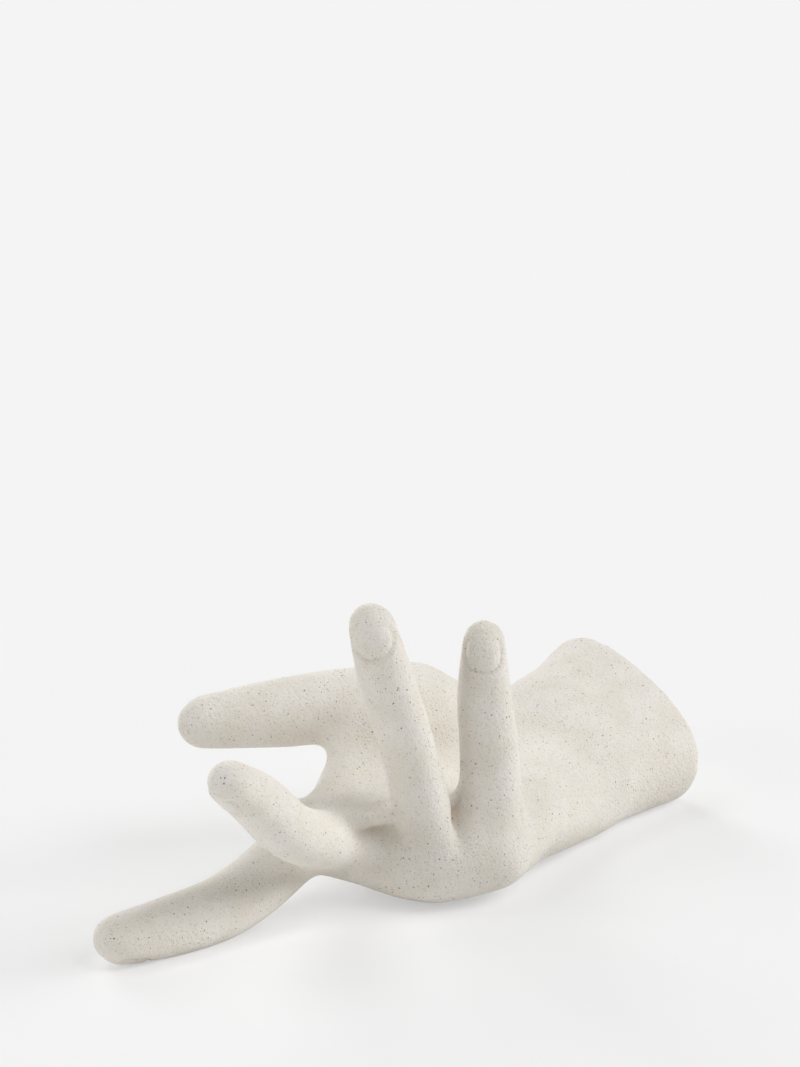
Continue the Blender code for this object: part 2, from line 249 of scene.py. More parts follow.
# %% Palm bones and webs
# Each ray: its finger, where it starts, and its half width there and at the knuckle.
PALM_RAYS = (
    ("little", (55.0, -8.5, 16.0), 14.0, 11.5),
    ("ring", (60.0, 0.0, 19.0), 14.0, 12.0),
    ("middle", (62.0, 9.0, 20.0), 14.0, 12.0),
    ("index", (62.0, 17.0, 22.0), 13.5, 11.0),
)
KNUCKLE_SWELL = 11.8
# Each web: two fingers with the share of the way up their first bones, half thickness, and how
# far the web lies towards the palm from the bones' middle.
FINGER_WEBS = (
    ("little", 0.52, "ring", 0.40, 3.8, (3.4, -0.5, 0.0)),
    ("ring", 0.37, "middle", 0.38, 4.0, (2.0, 0.0, 2.0)),
    ("middle", 0.34, "index", 0.40, 6.0, (0.0, 0.0, 0.0)),
)
THUMB_WEB = ((17.0, 27.0, 42.0), (7.5, 29.0, 33.0), (-3.0, 27.0, 23.0))
THUMB_WEB_HALVES = (12.5, 9.5, 9.5)


def up_the_first_bone(name, share):
    """The place at a share of the way from a finger's knuckle to its next joint."""
    knuckle, joint = finger_joints(FINGERS[name])[:2]
    return knuckle + share * (joint - knuckle)


for name, root, root_half, knuckle_half in PALM_RAYS:
    ends = [root, FINGERS[name]["knuckle"]]
    grids.append(limb(ends, (root_half, knuckle_half), 1.0, (0, 1, 0)))
knuckles = [finger["knuckle"] for finger in FINGERS.values()]
grids.append(limb(knuckles, (KNUCKLE_SWELL,) * len(knuckles), 1.0, (1, 0, 0)))
for a, share_a, b, share_b, half, palmwards in FINGER_WEBS:
    ends = np.array([up_the_first_bone(a, share_a), up_the_first_bone(b, share_b)])
    grids.append(limb(ends + np.array(palmwards), (half, half), 1.0, (0.0, 0.3, 1.0)))
grids.append(limb(THUMB_WEB, THUMB_WEB_HALVES, 1.0, (0, 1, 0)))
print("limbs so far:", len(grids))

# %% [markdown]
# ## The palm and wrist
#
# The palm and wrist are broad and flat, which round limbs alone don't give. Their flesh is one
# loft: a rounded oval that changes its size and rolls over as it runs from the knuckles to the
# cut end. The corners of the oval are filled out by a power above 2. The end has a narrow rounded
# rim, as a casting has where its mould parts.

# %% Palm loft
# Each station: middle, half width, half thickness, roll (thumb side up), turn to the little
# side, lean back.
PALM_STATIONS = (
    ((-9.0, 9.0, 15.5), 24.0, 9.5, 5.0, 0.0, 0.0),
    ((4.0, 5.0, 13.0), 27.0, 12.8, 3.0, 0.0, 0.0),
    ((25.0, 4.5, 14.8), 27.5, 14.0, 3.0, 0.0, 0.0),
    ((48.0, 2.5, 16.5), 27.2, 16.2, 4.0, 0.0, 0.0),
    ((64.0, 0.5, 18.7), 27.5, 18.5, 9.0, 3.0, 2.0),
    ((80.0, 0.3, 20.5), 27.8, 20.0, 17.0, 7.0, 5.0),
    ((96.0, -1.7, 22.0), 29.0, 20.2, 24.0, 11.0, 8.0),
    ((112.5, -3.8, 24.3), 31.6, 20.8, 30.5, 14.0, 10.0),
)
PALM_RINGS = 140
WRIST_END_ROUNDING = 2.0
RIM_ANGLES = np.radians(np.linspace(15.0, 90.0, 6))      # rings that round the rim of the cut end
OVAL_POWER = 2.4


def oval_ring(middle, half_width, half_thickness, roll, turn, lean, around=96):
    """A rounded oval across the hand: |u / width| ^ power + |v / thickness| ^ power = 1."""
    a = np.linspace(0.0, 2 * np.pi, around, endpoint=False)
    c, s = np.cos(a), np.sin(a)
    u = half_width * np.sign(c) * np.abs(c) ** (2 / OVAL_POWER)
    v = half_thickness * np.sign(s) * np.abs(s) ** (2 / OVAL_POWER)
    flat = np.stack([np.zeros_like(u), u, v], axis=-1)
    turned = (Matrix.Rotation(-math.radians(turn), 3, "Z")
              @ Matrix.Rotation(-math.radians(lean), 3, "Y")
              @ Matrix.Rotation(math.radians(roll), 3, "X"))
    return np.array(middle) + flat @ np.array(turned).T


def palm_loft():
    """The palm and wrist as rings of points, from the knuckles to the rounded cut end.

    ring(t) is the oval whose middle, size and turns run smoothly through the stations. With r
    the rounding, the rings of the rim move out by r * sin b and shrink by r * (1 - cos b).
    """
    table = np.array([(*station[0], *station[1:]) for station in PALM_STATIONS])
    places = np.linspace(0.0, len(table) - 1.0, PALM_RINGS)
    rows = through(places, np.arange(len(table)), table)
    rings = [oval_ring(row[:3], *row[3:]) for row in rows]
    last = rows[-1]
    for b in RIM_ANGLES:
        shrink = WRIST_END_ROUNDING * (1 - math.cos(b))
        out = np.array([WRIST_END_ROUNDING * math.sin(b), 0.0, 0.0])
        rings.append(oval_ring(last[:3] + out, last[3] - shrink, last[4] - shrink, *last[5:]))
    return np.array(rings)


grids.append(palm_loft())
print("rings in the palm:", len(grids[-1]))

# %% [markdown]
# ## Fusing the limbs
#
# The real hand came out of its mould as one body, while these limbs overlap inside each other.
# Booleans could join them two by two and often fail on near misses. A voxel remesh takes the
# outside of them all at once, and gives one closed skin of small squares.

# %% Fuse into one skin
VOXEL = 1.2                  # edge of the squares that fuse the limbs


def grid_faces(rings, around):
    """Squares between neighbouring rings, which close around, and one cap on each end.

    The square of point k on a ring joins k, the next point around, and the same two on the next
    ring.
    """
    k = np.arange(around)
    row = np.arange(rings - 1)[:, None] * around
    n = (k + 1) % around
    squares = np.stack([row + k, row + n, row + around + n, row + around + k], axis=-1)
    return squares.reshape(-1, 4), (k[::-1], k + (rings - 1) * around)


def mesh_of(name, all_grids):
    """One object that holds every grid as a closed tube."""
    points, faces, first = [], [], 0
    for grid in all_grids:
        squares, caps = grid_faces(*grid.shape[:2])
        faces += (squares + first).tolist()
        faces += [(cap + first).tolist() for cap in caps]
        points.append(grid.reshape(-1, 3))
        first += len(points[-1])
    mesh = bpy.data.meshes.new(name)
    mesh.from_pydata(np.concatenate(points), [], faces)
    obj = bpy.data.objects.new(name, mesh)
    bpy.context.scene.collection.objects.link(obj)
    return obj


def apply_modifier(obj, kind, **settings):
    """Add a modifier and keep its result as the object's mesh."""
    modifier = obj.modifiers.new(kind.lower(), kind)
    for key, value in settings.items():
        setattr(modifier, key, value)
    bpy.context.view_layer.update()
    evaluated = obj.evaluated_get(bpy.context.evaluated_depsgraph_get())
    mesh = bpy.data.meshes.new_from_object(evaluated)
    old = obj.data
    obj.modifiers.clear()
    obj.data = mesh
    bpy.data.meshes.remove(old)


hand = mesh_of("cast_hand", grids)
apply_modifier(hand, "REMESH", mode="VOXEL", voxel_size=VOXEL, adaptivity=0.0)
print("squares on the fused skin:", len(hand.data.polygons))

# %% [markdown]
# ## Filling the hollows
#
# Where two tubes meet, the fused skin has a sharp valley. Skin has none: it spans the corner. A
# smoothing of the whole would fill it too, but would also thin the fingers. So each point moves
# towards the middle of its neighbours, but only where that moves it outwards, which is in a
# hollow. A few passes over all the points then soften the whole.

# %% Relax the skin
CAD_VOXEL = 1.6              # the CAD model's squares, for which the passes were first found
VALLEY_PASSES = round(40 * (CAD_VOXEL / VOXEL) ** 2)     # finer squares need more passes
SKIN_PASSES = round(6 * (CAD_VOXEL / VOXEL) ** 2)


def read_points(mesh):
    """The mesh's points as an array."""
    co = np.empty(len(mesh.vertices) * 3)
    mesh.vertices.foreach_get("co", co)
    return co.reshape(-1, 3)


def write_points(mesh, co):
    """Put an array of points back into the mesh."""
    mesh.vertices.foreach_set("co", co.ravel())
    mesh.update()


def read_normals(mesh):
    """The mesh's normals at its points."""
    normal = np.empty(len(mesh.vertices) * 3)
    mesh.vertex_normals.foreach_get("vector", normal)
    return normal.reshape(-1, 3)


def neighbour_mean(mesh):
    """A function that takes values at the points to the mean of each point's neighbours."""
    edges = np.empty(len(mesh.edges) * 2, int)
    mesh.edges.foreach_get("vertices", edges)
    a, b = edges.reshape(-1, 2).T
    n = len(mesh.vertices)
    degree = np.bincount(a, minlength=n) + np.bincount(b, minlength=n)

    def mean(values):
        total = [np.bincount(a, column[b], n) + np.bincount(b, column[a], n) for column in values.T]
        return np.stack(total, axis=-1) / degree[:, None]

    return mean


def relax(mesh, passes, valleys_only):
    """Move each point half way to the mean of its neighbours, everywhere or only outwards."""
    mean = neighbour_mean(mesh)
    co = read_points(mesh)
    for _ in range(passes):
        move = mean(co) - co
        if valleys_only:
            write_points(mesh, co)
            move *= ((move * read_normals(mesh)).sum(axis=1) > 0)[:, None]
        co = co + 0.5 * move
    write_points(mesh, co)


relax(hand.data, VALLEY_PASSES, valleys_only=True)
relax(hand.data, SKIN_PASSES, valleys_only=False)
print("passes over the hollows and the skin:", VALLEY_PASSES, SKIN_PASSES)

# %% [markdown]
# ## A finer skin
#
# The nails have grooves of half a millimetre, and the fused squares are larger than that. Finer
# voxels would need many more passes in the step before, so the squares are halved here instead,
# with a subdivision surface, before any relief goes on.

# %% Subdivide
apply_modifier(hand, "SUBSURF", levels=1, render_levels=1)
print("squares after the subdivision:", len(hand.data.polygons))

# %% [markdown]
# ## Sculpting strokes
#
# The tubes give no muscles or hollows of their own. Sculpt mode could add them, but not from a
# script, so a few strokes do it, as a thumb does in clay: each runs through a few places on the
# skin and raises or sinks the skin around it. The four creases are finer than the CAD model's
# faces and are only here.

# %% Strokes
# Each stroke: places it runs through, radius, and height at each place (negative sinks).
STROKES = {
    "groove_between_little_and_ring": (
        ((-6.6, -11.8, 31.8), (-7.9, -13.3, 28.8), (-9.2, -14.6, 25.4), (-11.2, -15.7, 21.0)),
        2.4, (-1.8, -2.6, -2.0, -0.8)),
    "hollow_below_middle_and_ring_web": (
        ((-30.4, 6.4, 27.4), (-26.3, 5.1, 25.4), (-23.3, 3.0, 24.6), (-21.2, 0.6, 25.2)),
        3.4, (-1.2, -2.6, -3.0, -2.0)),
    "ledge_of_middle_and_ring_web": (
        ((-31.7, 9.2, 31.4), (-27.6, 8.2, 30.0), (-24.3, 4.7, 29.0), (-21.3, 0.5, 29.4)),
        1.6, (0.7, 1.9, 2.3, 1.5)),
    "crease_between_little_and_ring": (
        ((-5.7, -10.9, 33.0), (-7.0, -12.2, 31.2), (-7.9, -13.3, 29.0), (-8.5, -14.2, 26.8),
         (-10.1, -15.1, 23.7)), 1.3, (-2.2, -2.4, -1.5, -0.8, -0.3)),
    "crease_under_the_ledge": (
        ((-29.5, 6.6, 28.3), (-26.3, 5.4, 27.0), (-23.4, 3.2, 26.4), (-21.4, 0.8, 26.8)),
        1.8, (-0.3, -1.0, -1.2, -0.9)),
    "crease_behind_the_ledge": (
        ((-26.4, 9.2, 30.4), (-23.4, 7.5, 30.7), (-20.3, 5.5, 31.3), (-20.0, 1.8, 33.1)),
        1.2, (-0.2, -0.6, -0.7, -0.3)),
    "inner_end_of_the_thumb_web": (
        ((-4.5, 33.0, 31.5), (-6.0, 26.0, 31.5), (-4.0, 18.0, 31.0)), 5.5, (0.6, 1.2, 0.4)),
    "throat_between_thumb_and_index": (
        ((2.0, 36.0, 41.0), (-1.0, 34.5, 36.5)), 5.5, (-0.9, -1.3)),
    "palm_side_of_the_index_knuckle": (
        ((-18.0, 30.5, 31.0), (-24.0, 27.0, 31.0)), 6.0, (-1.6, -2.2)),
    "crease_beside_the_little_finger": (
        ((5.9, -25.3, 31.3), (5.4, -25.6, 28.0), (5.1, -26.1, 24.6)), 0.8, (-0.3, -0.9, -0.2)),
    "ball_of_the_little_finger": (
        ((19.0, -24.5, 24.0), (30.0, -23.5, 23.0), (40.0, -24.0, 20.0)), 11.0, (1.5, 2.4, 1.8)),
    "hollow_beside_the_little_finger": (
        ((26.0, -17.0, 29.0), (18.0, -21.5, 27.5)), 5.0, (-0.9, -0.7)),
    "valley_before_the_wrist": (
        ((60.0, -9.0, 34.0), (61.0, -20.0, 28.0), (61.0, -25.0, 18.0), (57.0, -24.0, 8.0)),
        8.0, (-1.2, -2.2, -2.2, -0.8)),
    "corner_behind_the_knuckles": (
        ((14.0, -27.5, 9.0), (25.0, -26.0, 7.0), (34.0, -24.0, 5.0)), 5.0, (-0.3, -1.4, -0.4)),
    "lower_edge_of_the_palm": (
        ((42.0, -20.5, 4.0), (54.0, -20.5, 3.0), (70.0, -20.0, 2.0)), 8.0, (0.5, 0.9, 0.3)),
    "ball_of_the_thumb": (
        ((21.0, 22.5, 58.0), (31.0, 20.0, 56.0), (41.0, 16.0, 51.5)), 9.0, (1.6, 3.2, 1.8)),
    "wrist_towards_the_thumb": (
        ((90.0, 13.0, 44.0), (101.0, 16.0, 46.0), (110.0, 19.0, 46.0)), 8.0, (-0.4, -1.2, -0.4)),
}
print("strokes:", len(STROKES))

# %% [markdown]
# ### Moving the skin
#
# A point could move straight along its own normal, but then the two sides of a sharp valley would
# run into each other. So the normal is averaged over a few millimetres first, and both sides go
# the same way. What the strokes sink deepest is also painted a darker brown, as painted shade in the
# hollows.

# %% Sculpt
NORMAL_PASSES = 24           # over squares of 0.6 mm this averages about 3 mm
PAINTED_SHADE_DEPTHS = (1.5, 4.5)    # painted shade starts at the first depth and is darkest from the second
STROKE_STEPS = 40            # places that each path is cut into
STROKE_REACH = 2.6           # radii past which a stroke moves nothing that could be seen


def smooth_step(x, low, high):
    """0 below low, 1 above high, and 3 t^2 - 2 t^3 of the share t between."""
    t = np.clip((x - low) / (high - low), 0.0, 1.0)
    return t * t * (3 - 2 * t)


def stroke_relief(co, places, radius, heights):
    """Height that one stroke gives each point, in millimetres.

    The path runs smoothly through the places, and its height through the given heights. With d
    the distance to the nearest point of the path, the relief is height * exp(-(d / radius)^2).
    """
    places = np.array(places)
    knots = np.arange(len(places))
    steps = np.linspace(0, len(places) - 1, STROKE_STEPS)
    path = through(steps, knots, places)
    height = through(steps, knots, heights)
    reach = STROKE_REACH * radius
    near = ((co > path.min(axis=0) - reach) & (co < path.max(axis=0) + reach)).all(axis=1)
    d = np.linalg.norm(co[near][:, None] - path[None], axis=-1)
    relief = np.zeros(len(co))
    relief[near] = height[d.argmin(axis=1)] * np.exp(-(d.min(axis=1) / radius) ** 2)
    return relief


def sculpt(mesh, strokes, normal_passes):
    """Move the skin by all the strokes' relief along its averaged normal."""
    mean = neighbour_mean(mesh)
    co, way = read_points(mesh), read_normals(mesh)
    for _ in range(normal_passes):
        way = mean(way)
    relief = sum(stroke_relief(co, *stroke) for stroke in strokes.values())
    write_points(mesh, co + unit(way) * relief[:, None])
    return relief


relief = sculpt(hand.data, STROKES, NORMAL_PASSES)
# painted shade: the deeper a stroke sank the skin, the darker its colour is painted
painted_shade = smooth_step(-relief, *PAINTED_SHADE_DEPTHS)
print("strokes from", relief.min().round(2), "to", relief.max().round(2), "mm")

# %% [markdown]
# ## The nails
#
# On the casting a nail is a shallow relief, not a separate plate: a groove runs along both sides
# and round its root, the skin swells a little outside the groove, and the free end stands just
# proud of the fingertip. A plate laid on would show a hard edge all round, so the skin itself is
# moved. Each nail is worked out in flat coordinates on its finger: u across, v along to the tip,
# both in millimetres from the middle of the fingertip's round end.

# %% Nail relief
NAIL_CORNER = 0.8            # radius of the outline's corners, as a share of the half width
NAIL_GROOVE = 0.6            # depth of the groove beside the nail
NAIL_GROOVE_WIDTH = 0.55
NAIL_GROOVE_END = 2.5        # how far before the free end the groove starts to run out
NAIL_FOLD = 0.08             # how far the skin swells beside the groove
NAIL_FOLD_OUT = 1.7          # how far outside the outline the swell is highest
NAIL_FOLD_WIDTH = 1.1
NAIL_PLATE = 0.25            # how far the middle of the nail stands up
NAIL_PLATE_RISE = (0.3, 2.6)     # from where to where inside the outline it rises
NAIL_LIP = 0.25              # step under the nail's free end
NAIL_LIP_STEP = (-0.3, 0.5)  # from where to where past the free end the step goes down
NAIL_LIP_LENGTH = 4.0        # how far past the free end it has run out
NAIL_LIP_SIDE = 1.5          # how far in from the nail's side it is full
NAIL_FACING = (0.5, 2.5)     # heights over the tip's middle between which the relief fades in
NAIL_BOX = (12.0, 14.0, 14.0)    # how far across, along and out the relief is worked out


def nail_relief(co, joint, tip, back, half_width, root, free_end):
    """Height of one nail's relief over the skin, for every point, in millimetres.

    The nail's outline is a rectangle with corners rounded by most of its half width. With d the
    distance outside that outline, the relief is a groove -exp(-(d / width)^2), a swell of the
    skin further out, a low crown inside, and a step down past the free end.
    """
    along = unit(tip - joint)
    out = unit(np.array(back) - along * np.dot(back, along))
    across = np.cross(along, out)
    local = co - tip
    u, v, w = local @ across, local @ along, local @ out
    corner = NAIL_CORNER * half_width
    middle, half_length = (root + free_end) / 2, (free_end - root) / 2
    qu = np.abs(u) - half_width + corner
    qv = np.abs(v - middle) - half_length + corner
    d = np.hypot(np.maximum(qu, 0), np.maximum(qv, 0)) + np.minimum(np.maximum(qu, qv), 0) - corner

    beside = 1 - smooth_step(v, free_end - NAIL_GROOVE_END, free_end)
    groove = -NAIL_GROOVE * np.exp(-(d / NAIL_GROOVE_WIDTH) ** 2) * beside
    swell = NAIL_FOLD * np.exp(-((d - NAIL_FOLD_OUT) / NAIL_FOLD_WIDTH) ** 2) * beside
    crown = NAIL_PLATE * smooth_step(-d, *NAIL_PLATE_RISE)
    past = v - free_end
    lip = -NAIL_LIP * smooth_step(past, *NAIL_LIP_STEP) * smooth_step(-past, -NAIL_LIP_LENGTH, 0.0)
    lip *= smooth_step(half_width - np.abs(u), 0.0, NAIL_LIP_SIDE)
    across_to, along_to, out_to = NAIL_BOX
    near = (np.abs(u) < across_to) & (np.abs(v - middle) < along_to) & (w > 0) & (w < out_to)
    facing = smooth_step(w, *NAIL_FACING)
    return near * facing * (groove + swell + crown + lip)


# %% [markdown]
# ### Five nails
#
# The nails of the little and ring fingers face the viewer. The other three are out of sight from
# there and follow these two. The grooves are painted a little darker as well, as painted shade, and
# that painted shade is kept as an attribute of the skin, from which the finish reads it.

# %% Nails on the fingers
NAIL_GROOVE_SHADE = 0.08             # how dark the groove is painted, as painted shade

# Each nail: the way its finger's back faces, half width, and the root and free end along v.
NAILS = {
    "little": ((-0.898, -0.438, 0.0), 5.0, -7.2, 2.6),
    "ring": ((-0.913, -0.407, 0.0), 5.7, -6.5, 3.2),
    "middle": ((-0.35, 0.45, -0.8), 5.0, -8.4, 3.0),
    "index": ((-0.1, 0.1, -1.0), 5.4, -8.4, 3.6),
    "thumb": (tuple(-np.array(THUMB_PALMAR)), 6.4, -9.4, 4.0),
}

tips = {name: finger_joints(finger)[-2:] for name, finger in FINGERS.items()}
tips["thumb"] = thumb_joints()[-2:]
co, normal = read_points(hand.data), read_normals(hand.data)
relief = np.zeros(len(co))
for name, (back, half_width, root, free_end) in NAILS.items():
    relief += nail_relief(co, *tips[name], back, half_width, root, free_end)
write_points(hand.data, co + normal * relief[:, None])
# painted shade in the nail grooves joins that of the hollows and is kept on the skin
painted_shade = np.maximum(painted_shade, np.clip(-relief / NAIL_GROOVE, 0.0, 1.0) * NAIL_GROOVE_SHADE)
hand.data.attributes.new("painted_shade", "FLOAT", "POINT").data.foreach_set("value", painted_shade)
print("nail relief from", relief.min().round(2), "to", relief.max().round(2), "mm")

# %% [markdown]
# ## On the table
#
# The heavy casting rests on flats that were rubbed true: under the wrist and palm, under the
# knuckles and at the forefinger. Cutting them with a block would leave a seam in the fine skin,
# so every point below the table is brought up to it. The hand is then centred over its footprint
# like the CAD model, turned to metres, and thinned where it is smooth.

# %% Seat and thin
MM = 0.001                   # a millimetre in Blender's metres
FOOT_DEPTH = 0.6             # how far the lowest swells are flattened
TRIANGLES = 190000

co = read_points(hand.data)
co[:, 2] = np.maximum(co[:, 2] - FOOT_DEPTH, 0.0)
co[:, :2] -= (co[:, :2].min(axis=0) + co[:, :2].max(axis=0)) / 2
centre = (np.array(cad_low) + np.array(cad_high))[:2] / 2
co = co * MM
co[:, :2] += centre
write_points(hand.data, co)
triangles = 2 * len(hand.data.polygons)
apply_modifier(hand, "DECIMATE", ratio=min(1.0, TRIANGLES / triangles), use_collapse_triangulate=True)
hand.data.shade_smooth()
print("triangles on the finished hand:", len(hand.data.polygons))

# %% [markdown]
# ## The cast finish
#
# The mix is a cream body with two sizes of dark grit, and its skin is matte and sandy, like fine
# orange peel. A picture of stone would need seams and repeats, while patterns in space run through
# the casting as the grit does. They read Object coordinates, which are metres here, so a scale of
# 1000 makes a pattern of about one millimetre. The painted shade in the hollows, a darker brown,
# reads the attribute that the strokes and nails left on the skin. Four small helpers keep the lines
# below short.

# %% Shader helpers
def node(tree, kind, **inputs):
    """Add a shader node and set its sockets by name."""
    made = tree.nodes.new(kind)
    for key, value in inputs.items():
        made.inputs[key.replace("_", " ")].default_value = value
    return made


def ramp(tree, source, low, high, flip=False):
    """Map a value so that low becomes 0 and high becomes 1, softly, or the other way round."""
    made = tree.nodes.new("ShaderNodeMapRange")
    made.interpolation_type = "SMOOTHSTEP"
    made.inputs["From Min"].default_value = low
    made.inputs["From Max"].default_value = high
    made.inputs["To Min"].default_value = 1.0 if flip else 0.0
    made.inputs["To Max"].default_value = 0.0 if flip else 1.0
    tree.links.new(source, made.inputs["Value"])
    return made.outputs["Result"]


def mix_colour(tree, share, a, b):
    """Blend two colours, where each is a value or another node's output."""
    made = tree.nodes.new("ShaderNodeMix")
    made.data_type = "RGBA"
    tree.links.new(share, made.inputs["Factor"])
    for socket, colour in ((made.inputs[6], a), (made.inputs[7], b)):
        if isinstance(colour, tuple):
            socket.default_value = colour
        else:
            tree.links.new(colour, socket)
    return made.outputs[2]


def times(tree, a, b):
    """The product of an output and a number or another output."""
    made = tree.nodes.new("ShaderNodeMath")
    made.operation = "MULTIPLY"
    for socket, value in zip(made.inputs, (a, b)):
        if isinstance(value, (int, float)):
            socket.default_value = value
        else:
            tree.links.new(value, socket)
    return made.outputs[0]


# %% [markdown]
# ### The grit
#
# Real grit is grains of many sizes, scattered by chance. Painted dots would look even, and a
# noise makes blots. The cells of a Voronoi texture give one point each, and the colour of the
# cell is a ready random number: it picks which points are a grain, and how large it is.

# %% Specks
FINE_SPECKS = (1300.0, 0.00021, 0.9)     # cells per metre, largest radius in metres, share of cells
COARSE_SPECKS = (750.0, 0.00030, 0.5)
SMALLEST_SPECK = 1 / 3                   # radius as a share of the largest
SPECK_EDGE = (0.6, 1.0)                  # shares of its radius between which a speck fades
PICK_EDGE = 0.05                         # how gradually the share of cells ends


def specks(tree, place, scale, radius, share):
    """Round specks of mixed sizes: 1 inside, 0 outside.

    Around a share of the scattered Voronoi points the speck reaches a distance between a third
    of the radius and all of it, which the point's own random colour picks.
    """
    dots = node(tree, "ShaderNodeTexVoronoi", Scale=scale)
    tree.links.new(place, dots.inputs["Vector"])
    pick = tree.nodes.new("ShaderNodeSeparateColor")
    tree.links.new(dots.outputs["Color"], pick.inputs["Color"])
    reach = tree.nodes.new("ShaderNodeMapRange")
    reach.inputs["To Min"].default_value = radius * scale * SMALLEST_SPECK
    reach.inputs["To Max"].default_value = radius * scale
    tree.links.new(pick.outputs["Green"], reach.inputs["Value"])
    part = tree.nodes.new("ShaderNodeMath")
    part.operation = "DIVIDE"
    tree.links.new(dots.outputs["Distance"], part.inputs[0])
    tree.links.new(reach.outputs["Result"], part.inputs[1])
    inside = ramp(tree, part.outputs[0], *SPECK_EDGE, flip=True)
    chosen = ramp(tree, pick.outputs["Red"], share, share - PICK_EDGE)
    return times(tree, inside, chosen)


# %% [markdown]
# ### The whole finish
#
# The colours go on in layers: the cream body with its soft clouds and fine sand, as they lie in the
# real mix, then painted shade in the hollows, then fine grit, and coarse grit on top. The sandy skin
# is a bump, because its grains are far finer than the mesh.

# %% Cast material
CREAM = (0.86, 0.815, 0.735, 1.0)
PALE_CREAM = (0.90, 0.868, 0.81, 1.0)
GRIT = (0.16, 0.11, 0.075, 1.0)
FINE_GRIT = (0.38, 0.28, 0.19, 1.0)
# painted shade: the brown with which the hollows and nail grooves are darkened
PAINTED_SHADE_BROWN = (0.62, 0.50, 0.37, 1.0)
CLOUD_SCALE, GRAIN_SCALE, PEEL_SCALE = 90.0, 1700.0, 1300.0
CLOUD_EDGES = (0.3, 0.7)     # noise from which the clouds start, and where they are full
SAND_EDGES = (0.55, 0.35)
SAND_SHARE, PAINTED_SHADE_SHARE, FINE_SHARE, COARSE_SHARE = 0.10, 0.45, 0.7, 0.9
PEEL_SHARE = 0.8             # height of the peel against that of the grain
SAND_HEIGHT = 0.0003         # metres
SAND_STRENGTH = 0.9
CAST_ROUGHNESS = 0.92
CAST_SPECULAR = 0.25


def cast_material():
    """Cream casting with two sizes of grit, painted shade in the hollows and a sandy skin."""
    material = bpy.data.materials.new("cast_cream")
    material.use_nodes = True
    tree = material.node_tree
    shader = tree.nodes["Principled BSDF"]
    place = tree.nodes.new("ShaderNodeTexCoord").outputs["Object"]

    clouds = node(tree, "ShaderNodeTexNoise", Scale=CLOUD_SCALE, Detail=2.0, Roughness=0.5)
    grain = node(tree, "ShaderNodeTexNoise", Scale=GRAIN_SCALE, Detail=2.0, Roughness=0.6)
    peel = node(tree, "ShaderNodeTexVoronoi", Scale=PEEL_SCALE)
    peel.feature = "SMOOTH_F1"
    for texture in (clouds, grain, peel):
        tree.links.new(place, texture.inputs["Vector"])
    # painted shade: the skin attribute that says how far the hollows and grooves are darkened
    painted_shade = node(tree, "ShaderNodeAttribute").outputs["Fac"]
    painted_shade.node.attribute_name = "painted_shade"

    colour = mix_colour(tree, ramp(tree, clouds.outputs[0], *CLOUD_EDGES), CREAM, PALE_CREAM)
    sand = ramp(tree, grain.outputs[0], *SAND_EDGES)
    fine = specks(tree, place, *FINE_SPECKS)
    coarse = specks(tree, place, *COARSE_SPECKS)
    # the layers: sand, painted shade in the hollows, fine grit and coarse grit
    for layer, share, tint in ((sand, SAND_SHARE, FINE_GRIT), (painted_shade, PAINTED_SHADE_SHARE, PAINTED_SHADE_BROWN),
                               (fine, FINE_SHARE, FINE_GRIT), (coarse, COARSE_SHARE, GRIT)):
        colour = mix_colour(tree, times(tree, layer, share), colour, tint)
    tree.links.new(colour, shader.inputs["Base Color"])

    height = tree.nodes.new("ShaderNodeMath")
    height.operation = "ADD"
    tree.links.new(grain.outputs[0], height.inputs[0])
    tree.links.new(times(tree, peel.outputs["Distance"], PEEL_SHARE), height.inputs[1])
    bump = node(tree, "ShaderNodeBump", Strength=SAND_STRENGTH, Distance=SAND_HEIGHT)
    tree.links.new(height.outputs[0], bump.inputs["Height"])
    tree.links.new(bump.outputs["Normal"], shader.inputs["Normal"])
    shader.inputs["Roughness"].default_value = CAST_ROUGHNESS
    shader.inputs["Specular IOR Level"].default_value = CAST_SPECULAR
    return material


hand.data.materials.clear()
hand.data.materials.append(cast_material())
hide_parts("hand")
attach(hand, "root")
print("material:", hand.data.materials[0].name)

# %% [markdown]
# ## Floor and backdrop
#
# The hand lies on a pale seamless sweep. A bent sheet of paper could be modelled, but its bend
# would show from the sides. Here the floor is lit and takes the hand's shadow close by, and
# further out it fades to the backdrop's own pale grey, so there is no horizon. The fade is seen
# by the camera and by glossy and transmission rays only: it puts no light on the hand.

# %% Floor
BACKDROP = 0.905             # the backdrop's grey, where 1 is white
FLOOR_COLOUR = (0.95, 0.95, 0.95, 1.0)
FLOOR_HALF = 3.0             # metres
FADE_FROM, FADE_TO = 0.08, 0.40          # distances from the hand's middle, in metres
NEAREST_FADE = 0.52          # share of the backdrop's colour right under the hand


def backdrop_rays(tree):
    """1 for the rays that see the backdrop's colour: camera, glossy and transmission rays."""
    rays = tree.nodes.new("ShaderNodeLightPath")
    total = rays.outputs["Is Camera Ray"]
    for name in ("Is Glossy Ray", "Is Transmission Ray"):
        made = tree.nodes.new("ShaderNodeMath")
        made.operation = "ADD"
        made.use_clamp = True
        tree.links.new(total, made.inputs[0])
        tree.links.new(rays.outputs[name], made.inputs[1])
        total = made.outputs[0]
    return total


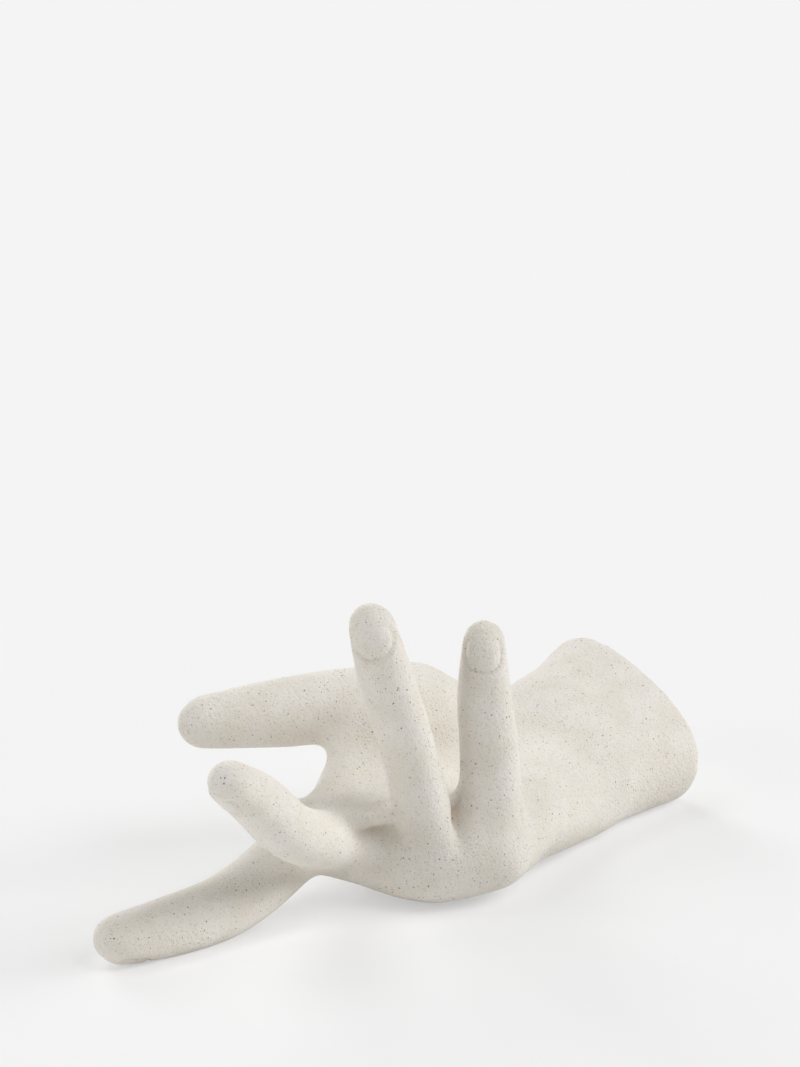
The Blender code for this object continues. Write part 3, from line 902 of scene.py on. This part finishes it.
def floor_material():
    """A matte floor that fades to the backdrop's colour away from the hand."""
    material = bpy.data.materials.new("floor")
    material.use_nodes = True
    tree = material.node_tree
    shader = tree.nodes["Principled BSDF"]
    shader.inputs["Base Color"].default_value = FLOOR_COLOUR
    shader.inputs["Roughness"].default_value = 1.0
    shader.inputs["Specular IOR Level"].default_value = 0.0
    place = tree.nodes.new("ShaderNodeTexCoord").outputs["Object"]
    length = tree.nodes.new("ShaderNodeVectorMath")
    length.operation = "LENGTH"
    tree.links.new(place, length.inputs[0])
    far = ramp(tree, length.outputs["Value"], FADE_FROM, FADE_TO)
    far.node.inputs["To Min"].default_value = NEAREST_FADE
    fade = times(tree, far, backdrop_rays(tree))
    glow = node(tree, "ShaderNodeEmission", Color=(BACKDROP, BACKDROP, BACKDROP, 1.0), Strength=1.0)
    blend = tree.nodes.new("ShaderNodeMixShader")
    tree.links.new(fade, blend.inputs[0])
    tree.links.new(shader.outputs[0], blend.inputs[1])
    tree.links.new(glow.outputs[0], blend.inputs[2])
    tree.links.new(blend.outputs[0], tree.nodes["Material Output"].inputs["Surface"])
    return material


floor_mesh = bpy.data.meshes.new("floor")
corners = np.array([(-1, -1, 0), (1, -1, 0), (1, 1, 0), (-1, 1, 0)]) * FLOOR_HALF
floor_mesh.from_pydata(corners, [], [(0, 1, 2, 3)])
floor = bpy.data.objects.new("floor", floor_mesh)
bpy.context.scene.collection.objects.link(floor)
floor.data.materials.append(floor_material())
print("the floor fades to", BACKDROP, "from", FADE_FROM, "to", FADE_TO, "m")

# %% [markdown]
# ## The air around
#
# Past the floor's edge the camera, and what mirrors or lets through, see the world in the same
# grey as the floor. A dome of paper round the set would do that too, but it would also light the
# hand from all sides and wash out its shadows. The world sheds no light of its own on the hand.

# %% World
world = bpy.data.worlds.new("studio")
bpy.context.scene.world = world
world.use_nodes = True
seen = world.node_tree.nodes["Background"]
seen.inputs["Color"].default_value = (BACKDROP, BACKDROP, BACKDROP, 1.0)
world.node_tree.links.new(backdrop_rays(world.node_tree), seen.inputs["Strength"])
print("backdrop seen as:", BACKDROP)

# %% [markdown]
# ## Light
#
# One lamp would cut the hand in a bright and a dark half. Large square lamps stand all round it
# instead: two behind it on the left, two on the right, one in front on the left and one overhead.
# None stands beside the camera, so the sides of each finger are bright and the face turned to the
# camera is a shade darker, as in the photograph. Their watts are kept so low that no side of the
# hand turns pure white.

# %% Soft boxes
LOOK_AT = Vector((0.0, 0.0, 0.03))
BOX_DISTANCE, BOX_SIZE = 3.0, 1.4        # metres
# Each box: direction round the hand and height in degrees, and watts.
SOFT_BOXES = {
    "back_left_box": (60.0, 14.0, 34.0),
    "high_left_box": (62.0, 38.0, 20.0),
    "right_box": (306.0, 28.0, 42.0),
    "high_right_box": (265.0, 45.0, 28.0),
    "front_left_box": (157.0, 21.0, 22.0),
    "top_box": (130.0, 66.0, 23.0),
}


def soft_box(name, azimuth, height, watts):
    """A square area lamp that faces the hand."""
    a, h = math.radians(azimuth), math.radians(height)
    way = Vector((math.cos(a) * math.cos(h), math.sin(a) * math.cos(h), math.sin(h)))
    lamp = bpy.data.lights.new(name, "AREA")
    lamp.shape = "SQUARE"
    lamp.size = BOX_SIZE
    lamp.energy = watts
    obj = bpy.data.objects.new(name, lamp)
    obj.location = LOOK_AT + way * BOX_DISTANCE
    obj.rotation_euler = (LOOK_AT - obj.location).to_track_quat("-Z", "Y").to_euler()
    bpy.context.scene.collection.objects.link(obj)


for name, settings in SOFT_BOXES.items():
    soft_box(name, *settings)
bpy.context.scene.view_settings.view_transform = "Standard"
print("soft boxes:", len(SOFT_BOXES), "with", sum(box[-1] for box in SOFT_BOXES.values()), "watts")
